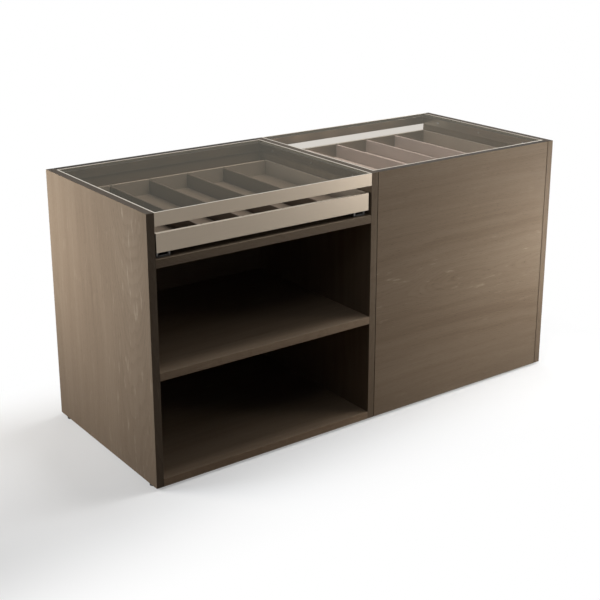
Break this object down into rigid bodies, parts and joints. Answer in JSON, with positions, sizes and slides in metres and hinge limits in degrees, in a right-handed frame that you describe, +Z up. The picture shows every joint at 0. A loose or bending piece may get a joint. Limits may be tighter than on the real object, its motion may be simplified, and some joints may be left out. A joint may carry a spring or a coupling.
{
  "type": "closet island with drawers",
  "caption": "Free-standing closet island: glass-topped modules facing opposite ways, open shelves under shallow jewellery drawers.",
  "frame": {"origin": "middle of the footprint, on the floor", "axes": "+X along the length to the right of someone facing the open left module, +Y to the back, +Z up"},
  "size_m": [1.625, 0.65, 0.848],
  "materials": {
    "oak_veneer": "dark stained open-pore oak veneer, matt",
    "champagne_metal": "satin champagne anodised",
    "tray_lacquer": "taupe matt lacquer",
    "suede": "taupe suede cloth",
    "smoked_glass": "smoked, clear, polished",
    "black_rubber": "matt",
    "zinc_steel": "zinc plated",
    "beech": "plain fluted dowel",
    "black_nylon": "matt",
    "raw_aluminium": "mill",
    "fastener_steel": "zinc plated"
  },
  "bodies": {
    "cabinet": {"cam_bolts": "fastener_steel", "cam_discs": "fastener_steel", "carcass_dowels": "beech", "centre_partition": "oak_veneer", "fixed_runner_screws": "fastener_steel", "floor_glides": "black_nylon", "frame_corner_keys": "raw_aluminium", "frame_screws": "fastener_steel", "left_back_panel": "oak_veneer", "left_bottom_panel": "oak_veneer", "left_drawer_fixed_runners": "zinc_steel", "left_drawer_shelf": "oak_veneer", "left_glass_gasket": "black_rubber", "left_glass_top": "smoked_glass", "left_middle_shelf": "oak_veneer", "left_side_panel": "oak_veneer", "left_top_frame_back": "champagne_metal", "left_top_frame_front": "champagne_metal", "left_top_frame_left": "champagne_metal", "left_top_frame_right": "champagne_metal", "right_back_panel": "oak_veneer", "right_bottom_panel": "oak_veneer", "right_drawer_fixed_runners": "zinc_steel", "right_drawer_shelf": "oak_veneer", "right_glass_gasket": "black_rubber", "right_glass_top": "smoked_glass", "right_middle_shelf": "oak_veneer", "right_side_panel": "oak_veneer", "right_top_frame_back": "champagne_metal", "right_top_frame_front": "champagne_metal", "right_top_frame_left": "champagne_metal", "right_top_frame_right": "champagne_metal", "shelf_pins": "fastener_steel"},
    "left_drawer": {"left_drawer_back": "tray_lacquer", "left_drawer_carried_runners": "zinc_steel", "left_drawer_dividers": "tray_lacquer", "left_drawer_floor": "tray_lacquer", "left_drawer_front": "champagne_metal", "left_drawer_left_side": "tray_lacquer", "left_drawer_mats": "suede", "left_drawer_pegs": "beech", "left_drawer_right_side": "tray_lacquer", "left_drawer_runner_screws": "fastener_steel"},
    "left_runners": {"left_drawer_middle_runners": "zinc_steel"},
    "right_drawer": {"right_drawer_back": "tray_lacquer", "right_drawer_carried_runners": "zinc_steel", "right_drawer_dividers": "tray_lacquer", "right_drawer_floor": "tray_lacquer", "right_drawer_front": "champagne_metal", "right_drawer_left_side": "tray_lacquer", "right_drawer_mats": "suede", "right_drawer_pegs": "beech", "right_drawer_right_side": "tray_lacquer", "right_drawer_runner_screws": "fastener_steel"},
    "right_runners": {"right_drawer_middle_runners": "zinc_steel"}
  },
  "joints": [
    {"name": "left_drawer_slide", "type": "slide", "parent": "cabinet", "child": "left_drawer", "axis": [0, -1, 0], "range_m": [0, 0.5]},
    {"name": "left_runner_slide", "type": "slide", "parent": "cabinet", "child": "left_runners", "axis": [0, -1, 0], "range_m": [0, 0.25]},
    {"name": "right_drawer_slide", "type": "slide", "parent": "cabinet", "child": "right_drawer", "axis": [0, 1, 0], "range_m": [0, 0.5]},
    {"name": "right_runner_slide", "type": "slide", "parent": "cabinet", "child": "right_runners", "axis": [0, 1, 0], "range_m": [0, 0.25]}
  ],
  "couplings": [
    {"joint": "left_runner_slide", "follows": "left_drawer_slide", "ratio": 0.5},
    {"joint": "right_runner_slide", "follows": "right_drawer_slide", "ratio": 0.5}
  ]
}
